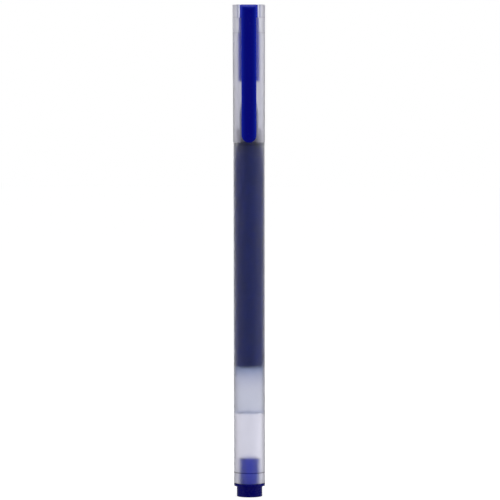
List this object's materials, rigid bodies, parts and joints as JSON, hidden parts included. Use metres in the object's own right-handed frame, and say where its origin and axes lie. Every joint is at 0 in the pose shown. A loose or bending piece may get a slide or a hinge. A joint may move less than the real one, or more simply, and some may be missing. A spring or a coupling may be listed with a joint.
{
  "type": "gel pen",
  "caption": "Capped gel pen: frosted clear barrel round a large ink tube, stepped neck, clear cap with blue core and flexing clip, blue tail plug.",
  "frame": {"origin": "centre of the flat end of the tail knob", "axes": "+Z along the pen from the tail to the cap, -Y towards the clip"},
  "size_m": [0.0098, 0.0122, 0.149],
  "materials": {
    "blue_plastic": "gloss, moulded, dark blue",
    "frosted_barrel": "clear plastic with a fine frosted surface",
    "tube_plastic": "translucent extruded tube",
    "follower_grease": "pale translucent grease",
    "blue_ink": "wet dark blue ink",
    "holder_plastic": "translucent moulded plastic",
    "steel": "turned stainless steel",
    "carbide": "polished tungsten carbide",
    "clear_nose": "clear moulded plastic",
    "frosted_cap": "clear plastic with a fine frosted surface",
    "blue_core": "gloss, moulded, blue",
    "seal_rubber": "soft pale elastomer",
    "blue_clip": "gloss, moulded, deep blue"
  },
  "bodies": {
    "pen_body": {"tail_plug": "blue_plastic", "barrel": "frosted_barrel", "ink_tube": "tube_plastic", "ink": "blue_ink", "tip_holder": "holder_plastic", "feed_ink": "blue_ink", "nib": "steel", "nose_cone": "clear_nose"},
    "cap": {"cap_shell": "frosted_cap", "cap_insert": "blue_core", "nib_seal": "seal_rubber"},
    "clip_arm": {"clip": "blue_clip"},
    "follower_plug": {"follower": "follower_grease"},
    "valve_ball": {"check_ball": "steel"},
    "point_ball": {"writing_ball": "carbide"}
  },
  "joints": [
    {"name": "cap_pull", "type": "slide", "parent": "pen_body", "child": "cap", "axis": [0, 0, 1], "range_m": [0, 0.03]},
    {"name": "clip_flex", "type": "hinge", "parent": "cap", "child": "clip_arm", "pos_m": [0, -0.0054, 0.1471], "axis": [-1, 0, 0], "range_deg": [0, 5], "stiffness_Nm_per_rad": 0.4},
    {"name": "follower_travel", "type": "slide", "parent": "pen_body", "child": "follower_plug", "axis": [0, 0, 1], "range_m": [0, 0.06], "deforming": ["ink"]},
    {"name": "valve_travel", "type": "slide", "parent": "pen_body", "child": "valve_ball", "axis": [0, 0, 1], "range_m": [0, 0.0006]},
    {"name": "ball_roll", "type": "hinge", "parent": "pen_body", "child": "point_ball", "pos_m": [0, 0, 0.13075], "axis": [1, 0, 0], "continuous": true}
  ]
}
